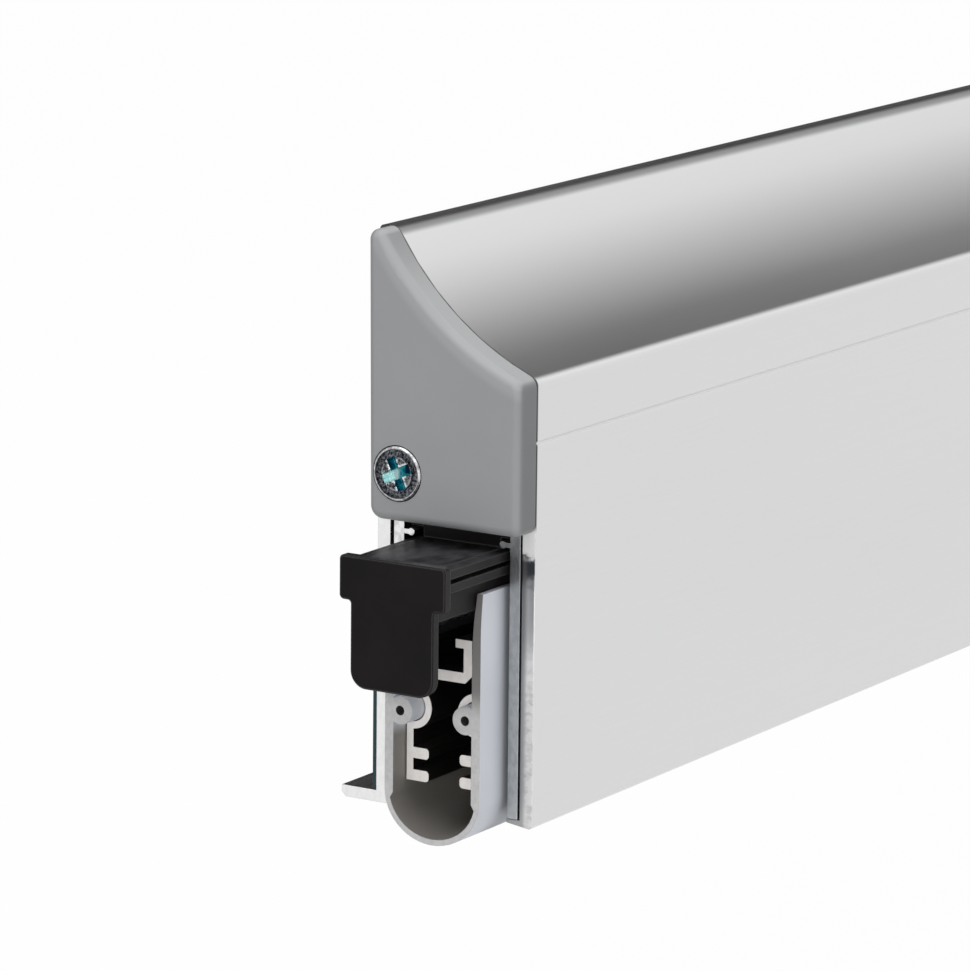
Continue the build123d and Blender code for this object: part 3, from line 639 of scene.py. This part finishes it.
def zinc_steel():
    """Bright zinc plating with a faint blue cast."""
    finish = Finish("zinc_steel", 0.3, 1.0)
    grain = finish.noise(4000.0, 4.0, 0.7)
    finish.colour(finish.shades(grain, (0.48, 0.56, 0.58), (0.74, 0.80, 0.82)))
    finish.roughness_between(grain, 0.2, 0.42)
    finish.relief(grain, 0.00003, 0.4, edge=0.0001)
    return finish.material


def cross_head_zinc():
    """End cap screw: pale rim, dark rough ring, painted highlights round the cross, and blue-green
    plating in the cross.
    """
    finish = Finish("cross_head_zinc", 0.28, 1.0)
    offset = finish.from_line(*middle_of("end_cap_screws"))
    radius = finish.length_of(offset)
    grit = finish.noise(3600.0, 5.0, 0.75)
    blobs = finish.noise(1500.0, 3.0, 0.6)
    rim = finish.shades(blobs, (0.22, 0.22, 0.23), (0.66, 0.66, 0.67), 0.35, 0.6)
    dark = finish.shades(grit, (0.006, 0.006, 0.016), (0.24, 0.25, 0.26), 0.44, 0.64)
    metal = finish.over(finish.fade(radius, *SCREW_RIM_FADE), dark, rim)
    # Painted highlight: the edges round the cross are painted near white.
    edge_highlight = finish.both(finish.rims(HIGHLIGHT_WIDTH, HIGHLIGHT_TURN), finish.fade(blobs, *HIGHLIGHT_BLOBS_FADE))
    edge_highlight = finish.both(edge_highlight, finish.fade(radius, *HIGHLIGHT_FADE))
    metal = finish.over(edge_highlight, metal, (0.86, 0.90, 0.88))
    outer_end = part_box("end_cap_screws")[1][0]
    sunk = finish.fade_below(finish.magnitude(finish.at("X")), outer_end, SUNK_FADE)
    in_cross = finish.both(sunk, finish.fade(radius, *CROSS_FADE))
    finish.colour(finish.over(in_cross, metal, cross_plating(finish, offset, blobs)))
    finish.roughness_between(grit, 0.2, 0.45)
    finish.relief(grit, 0.00004, 0.5, edge=0.00008)
    return finish.material


def cross_plating(finish, offset, blobs):
    """Blue-green, with a painted glint on one arm of the cross and a painted dark spot of shade on
    another.
    """
    plating = finish.shades(blobs, (0.0, 0.085, 0.13), (0.04, 0.26, 0.31), 0.38, 0.60)
    aside = finish.part_of(offset, "Y")
    above = finish.part_of(offset, "Z")
    # Painted highlight: a pale glint on one arm of the cross.
    glint = finish.both(
        finish.fade(aside, *GLINT_ASIDE_FADE), finish.fade(above, *GLINT_ABOVE_FADE)
    )
    plating = finish.over(glint, plating, (0.44, 0.62, 0.62))
    # Painted shade: a dark spot on another arm of the cross.
    shade_spot = finish.both(
        finish.between(aside, *SHADE_SPOT_ASIDE, SHADE_SPOT_SOFT), finish.fade(above, *SHADE_SPOT_ABOVE_FADE)
    )
    return finish.over(shade_spot, plating, (0.002, 0.012, 0.03))


def bright_steel():
    """Drawn bar, with fine lines along it."""
    finish = Finish("bright_steel", 0.22, 1.0)
    lines = finish.noise(5000.0, 4.0, 0.6, LENGTHWAYS)
    finish.colour(finish.shades(lines, (0.54, 0.54, 0.54), (0.66, 0.66, 0.66)))
    finish.roughness_between(lines, 0.18, 0.28)
    finish.relief(lines, 0.00001, 0.2)
    return finish.material


def spring_steel():
    """Drawn wire, a little darker than the rod."""
    finish = Finish("spring_steel", 0.3, 1.0)
    grain = finish.noise(6000.0, 3.0, 0.6)
    finish.colour(finish.shades(grain, (0.36, 0.36, 0.37), (0.48, 0.48, 0.49)))
    finish.roughness_between(grain, 0.25, 0.36)
    finish.relief(grain, 0.00001, 0.2)
    return finish.material


def make_finishes():
    """The finish of each material slot, and of the nodes that have one of their own."""
    return {
        "satin_aluminium": brushed_anodised(),
        "mill_aluminium": plate_aluminium(),
        "grey_plastic": cap_plastic(),
        "black_plastic": black_plastic(),
        "white_plastic": white_plastic(),
        "grey_rubber": seal_rubber(),
        "dark_foam": dark_foam(),
        "zinc_steel": zinc_steel(),
        "bright_steel": bright_steel(),
        "spring_steel": spring_steel(),
        "housing_channel": channel_aluminium(),
        "carrier": carrier_aluminium(),
        "end_cap_screws": cross_head_zinc(),
    }


def dress_frame(finishes):
    for part in frame["record"]["subparts"]:
        name = part["node"]
        material = finishes.get(name, finishes[part["material_slot"]])
        for slot in nodes[name].material_slots:
            slot.material = material


def welded_copy(name):
    """A node's mesh with its corners joined and its flat faces whole."""
    shape = bmesh.new()
    shape.from_mesh(nodes[name].data)
    bmesh.ops.remove_doubles(shape, verts=shape.verts, dist=WELD)
    bmesh.ops.dissolve_limit(
        shape, angle_limit=FLAT_ANGLE, verts=shape.verts, edges=shape.edges
    )
    return shape


def slice_across(shape, axis, places):
    """Cuts every face along planes that are square to an axis."""
    for place in places:
        point = Vector()
        point[axis] = place
        square = Vector()
        square[axis] = 1.0
        everything = shape.verts[:] + shape.edges[:] + shape.faces[:]
        bmesh.ops.bisect_plane(
            shape, geom=everything, dist=SLICE_TOUCH, plane_co=point, plane_no=square
        )


def add_piece(name, shape, material, body, node):
    """Makes the piece that is shown instead of a node of the frame."""
    mesh = bpy.data.meshes.new(name)
    shape.to_mesh(mesh)
    shape.free()
    mesh.shade_smooth()
    mesh.set_sharp_from_angle(angle=SHARP_ANGLE)
    mesh.materials.append(material)
    piece = bpy.data.objects.new(name, mesh)
    scene.collection.objects.link(piece)
    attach(piece, body)
    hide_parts(node)
    return piece


def make_soft_seal(finishes):
    """The rubber seal: its free walls waver and lean back a little at the cut ends."""
    low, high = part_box("seal")
    shape = welded_copy("seal")
    steps = [(step + 1) / SEAL_SLICES for step in range(SEAL_SLICES)]
    from_end = [step * SEAL_LEAN_REACH for step in steps]
    slice_across(shape, 0, [low[0] + step for step in from_end])
    slice_across(shape, 0, [high[0] - step for step in from_end])
    lean_start = high[2] - SEAL_LEAN_HEIGHT
    slice_across(shape, 2, [lean_start + step * SEAL_LEAN_HEIGHT for step in steps[:-1]])
    middle, _ = middle_of("seal")
    for vertex in shape.verts:
        rise = max(0.0, (vertex.co.z - lean_start) / SEAL_LEAN_HEIGHT)
        for end, inward in ((low[0], 1.0), (high[0], -1.0)):
            near = max(0.0, 1.0 - abs(vertex.co.x - end) / SEAL_LEAN_REACH)
            waver = abs(noise.noise(vertex.co * SEAL_WAVE_SCALE))
            wave = SEAL_WAVE * near * min(1.0, 2.0 * rise) * waver
            vertex.co.y -= math.copysign(wave, vertex.co.y - middle)
            vertex.co.x += inward * SEAL_LEAN * rise**3 * near
    add_piece("soft_seal", shape, finishes["grey_rubber"], "seal_bar", "seal")


def make_foam_strip(finishes):
    """The foam tape: rounded along its edges, and not quite even on the door side."""
    low, high = (Vector(corner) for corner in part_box("gasket_tape"))
    shape = bmesh.new()
    bmesh.ops.create_cube(shape, size=1.0)
    bmesh.ops.scale(shape, verts=shape.verts, vec=high - low)
    bmesh.ops.translate(shape, verts=shape.verts, vec=(low + high) / 2)
    bmesh.ops.bevel(
        shape,
        geom=shape.edges[:],
        offset=FOAM_ROUNDING,
        segments=2,
        profile=0.5,
        affect="EDGES",
        material=-1,
    )
    count = int((high.x - low.x) / FOAM_SLICE)
    slice_across(shape, 0, [low.x + FOAM_SLICE * step for step in range(1, count)])
    slice_across(shape, 2, [low.z + FOAM_SLICE * step for step in range(1, FOAM_ROWS + 1)])
    for vertex in shape.verts:
        if vertex.co.y > (low.y + high.y) / 2:
            vertex.co.y -= FOAM_DENT * abs(noise.noise(vertex.co * FOAM_DENT_SCALE))
    add_piece("foam_strip", shape, finishes["dark_foam"], "housing", "gasket_tape")


def make_return_coil(finishes):
    """The return spring in round wire, which the slide block presses together."""
    low, high = (Vector(corner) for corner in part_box("return_spring"))
    middle = (low + high) / 2
    radius = (high.z - low.z) / 2 - COIL_CLEARANCE
    steps = COIL_TURNS * COIL_STEPS
    start = Vector((low.x + COIL_CLEARANCE, middle.y, middle.z))
    advance = Vector(((high.x - low.x - 2 * COIL_CLEARANCE) / steps, 0.0, 0.0))
    shape = bmesh.new()
    bmesh.ops.create_circle(shape, segments=COIL_FLATS, radius=COIL_WIRE)
    quarter = Matrix.Rotation(math.radians(90.0), 4, "X")
    onto_coil = Matrix.Translation(start + Vector((0.0, 0.0, radius)))
    bmesh.ops.transform(shape, verts=shape.verts, matrix=onto_coil @ quarter)
    bmesh.ops.spin(
        shape,
        geom=shape.verts[:] + shape.edges[:],
        cent=start,
        axis=(1.0, 0.0, 0.0),
        dvec=advance,
        angle=math.tau * COIL_TURNS,
        steps=steps,
    )
    bmesh.ops.remove_doubles(shape, verts=shape.verts, dist=COIL_WELD)
    open_rims = [edge for edge in shape.edges if edge.is_boundary]
    bmesh.ops.holes_fill(shape, edges=open_rims, sides=0)
    bmesh.ops.recalc_face_normals(shape, faces=shape.faces)
    coil = add_piece(
        "return_coil", shape, finishes["spring_steel"], "housing", "return_spring"
    )
    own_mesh(coil)


def add_floor():
    sheet = bmesh.new()
    bmesh.ops.create_grid(sheet, x_segments=1, y_segments=1, size=FLOOR_HALF_WIDTH)
    bmesh.ops.translate(sheet, verts=sheet.verts, vec=(0.0, 0.0, FLOOR_HEIGHT))
    mesh = bpy.data.meshes.new("floor")
    sheet.to_mesh(mesh)
    sheet.free()
    floor = bpy.data.objects.new("floor", mesh)
    scene.collection.objects.link(floor)
    floor.data.materials.append(pale_backdrop("floor_finish", FLOOR_GLOW, FLOOR_SHADE))


def pale_backdrop(name, glow, shade):
    """White where the camera or a reflection sees it, and matt pale for the light."""
    material = bpy.data.materials.new(name)
    material.use_nodes = True
    tree = material.node_tree
    tree.nodes.clear()
    output = tree.nodes.new("ShaderNodeOutputMaterial")
    mix = tree.nodes.new("ShaderNodeMixShader")
    matt = tree.nodes.new("ShaderNodeBsdfDiffuse")
    matt.inputs["Color"].default_value = (shade, shade, shade, 1.0)
    white = tree.nodes.new("ShaderNodeEmission")
    scale = tree.nodes.new("ShaderNodeMath")
    scale.operation = "MULTIPLY"
    scale.inputs[1].default_value = glow
    tree.links.new(seen_rays(tree), scale.inputs[0])
    tree.links.new(scale.outputs["Value"], mix.inputs["Fac"])
    tree.links.new(matt.outputs["BSDF"], mix.inputs[1])
    tree.links.new(white.outputs["Emission"], mix.inputs[2])
    tree.links.new(mix.outputs["Shader"], output.inputs["Surface"])
    return material


def seen_rays(tree):
    """1 for camera, glossy and transmission rays."""
    path = tree.nodes.new("ShaderNodeLightPath")
    total = path.outputs["Is Camera Ray"]
    for name in ("Is Glossy Ray", "Is Transmission Ray"):
        larger = tree.nodes.new("ShaderNodeMath")
        larger.operation = "MAXIMUM"
        tree.links.new(total, larger.inputs[0])
        tree.links.new(path.outputs[name], larger.inputs[1])
        total = larger.outputs["Value"]
    return total


def set_world(level):
    """Even light at a level, behind a white that the camera and the metal see."""
    world = bpy.data.worlds.new("studio")
    scene.world = world
    world.use_nodes = True
    tree = world.node_tree
    tree.nodes.clear()
    output = tree.nodes.new("ShaderNodeOutputWorld")
    mix = tree.nodes.new("ShaderNodeMixShader")
    even = tree.nodes.new("ShaderNodeBackground")
    even.inputs["Strength"].default_value = level
    white = tree.nodes.new("ShaderNodeBackground")
    white.inputs["Strength"].default_value = 1.0
    for background in (even, white):
        background.inputs["Color"].default_value = (1.0, 1.0, 1.0, 1.0)
    tree.links.new(seen_rays(tree), mix.inputs["Fac"])
    tree.links.new(even.outputs["Background"], mix.inputs[1])
    tree.links.new(white.outputs["Background"], mix.inputs[2])
    tree.links.new(mix.outputs["Shader"], output.inputs["Surface"])


def aimed_from(place):
    """Where an object stands whose -Z looks at the aim."""
    turn = (Vector(AIM) - Vector(place)).to_track_quat("-Z", "Y").to_matrix().to_4x4()
    return Matrix.Translation(place) @ turn


def add_lamp(name, place, size, power):
    data = bpy.data.lights.new(name, "AREA")
    data.shape = "RECTANGLE"
    data.size, data.size_y = size
    data.energy = power
    lamp = bpy.data.objects.new(name, data)
    lamp.matrix_world = aimed_from(place)
    scene.collection.objects.link(lamp)


def graded_screen(name, stand, width, stops):
    """Clear at one edge and black at the other."""
    material = bpy.data.materials.new(name)
    material.use_nodes = True
    tree = material.node_tree
    tree.nodes.clear()
    output = tree.nodes.new("ShaderNodeOutputMaterial")
    mix = tree.nodes.new("ShaderNodeMixShader")
    clear = tree.nodes.new("ShaderNodeBsdfTransparent")
    black = tree.nodes.new("ShaderNodeBsdfDiffuse")
    black.inputs["Color"].default_value = (SCREEN_BLACK, SCREEN_BLACK, SCREEN_BLACK, 1.0)
    coordinates = tree.nodes.new("ShaderNodeTexCoord")
    across = tree.nodes.new("ShaderNodeVectorMath")
    across.operation = "DOT_PRODUCT"
    side = stand.to_3x3() @ Vector((1.0, 0.0, 0.0))
    across.inputs[1].default_value = side
    middle = stand.translation.dot(side)
    span = tree.nodes.new("ShaderNodeMapRange")
    span.inputs["From Min"].default_value = middle - width / 2
    span.inputs["From Max"].default_value = middle + width / 2
    ramp = tree.nodes.new("ShaderNodeValToRGB")
    elements = ramp.color_ramp.elements
    while len(elements) < len(stops):
        elements.new(0.5)
    for element, (position, density) in zip(elements, stops):
        element.position = position
        element.color = (density, density, density, 1.0)
    tree.links.new(coordinates.outputs["Object"], across.inputs[0])
    tree.links.new(across.outputs["Value"], span.inputs["Value"])
    tree.links.new(span.outputs["Result"], ramp.inputs["Fac"])
    tree.links.new(ramp.outputs["Color"], mix.inputs["Fac"])
    tree.links.new(clear.outputs["BSDF"], mix.inputs[1])
    tree.links.new(black.outputs["BSDF"], mix.inputs[2])
    tree.links.new(mix.outputs["Shader"], output.inputs["Surface"])
    return material


def add_dark_card(name, place, size, stops):
    """A dark screen that only reflections see.

    The stops give its density from one edge, at 0, to the other, at 1."""
    sheet = bmesh.new()
    bmesh.ops.create_grid(sheet, x_segments=1, y_segments=1, size=0.5)
    bmesh.ops.scale(sheet, verts=sheet.verts, vec=(size[0], size[1], 1.0))
    stand = aimed_from(place)
    bmesh.ops.transform(sheet, verts=sheet.verts, matrix=stand)
    mesh = bpy.data.meshes.new(name)
    sheet.to_mesh(mesh)
    sheet.free()
    card = bpy.data.objects.new(name, mesh)
    scene.collection.objects.link(card)
    card.data.materials.append(graded_screen(name, stand, size[0], stops))
    card.visible_camera = False
    card.visible_diffuse = False
    card.visible_shadow = False


add_camera()
finishes = make_finishes()
dress_frame(finishes)
make_soft_seal(finishes)
make_foam_strip(finishes)
make_return_coil(finishes)
add_floor()
set_world(WORLD_LEVEL)
for lamp in LAMPS:
    add_lamp(*lamp)
add_dark_card("rear_screen", SCREEN_PLACE, SCREEN_SIZE, SCREEN_STOPS)
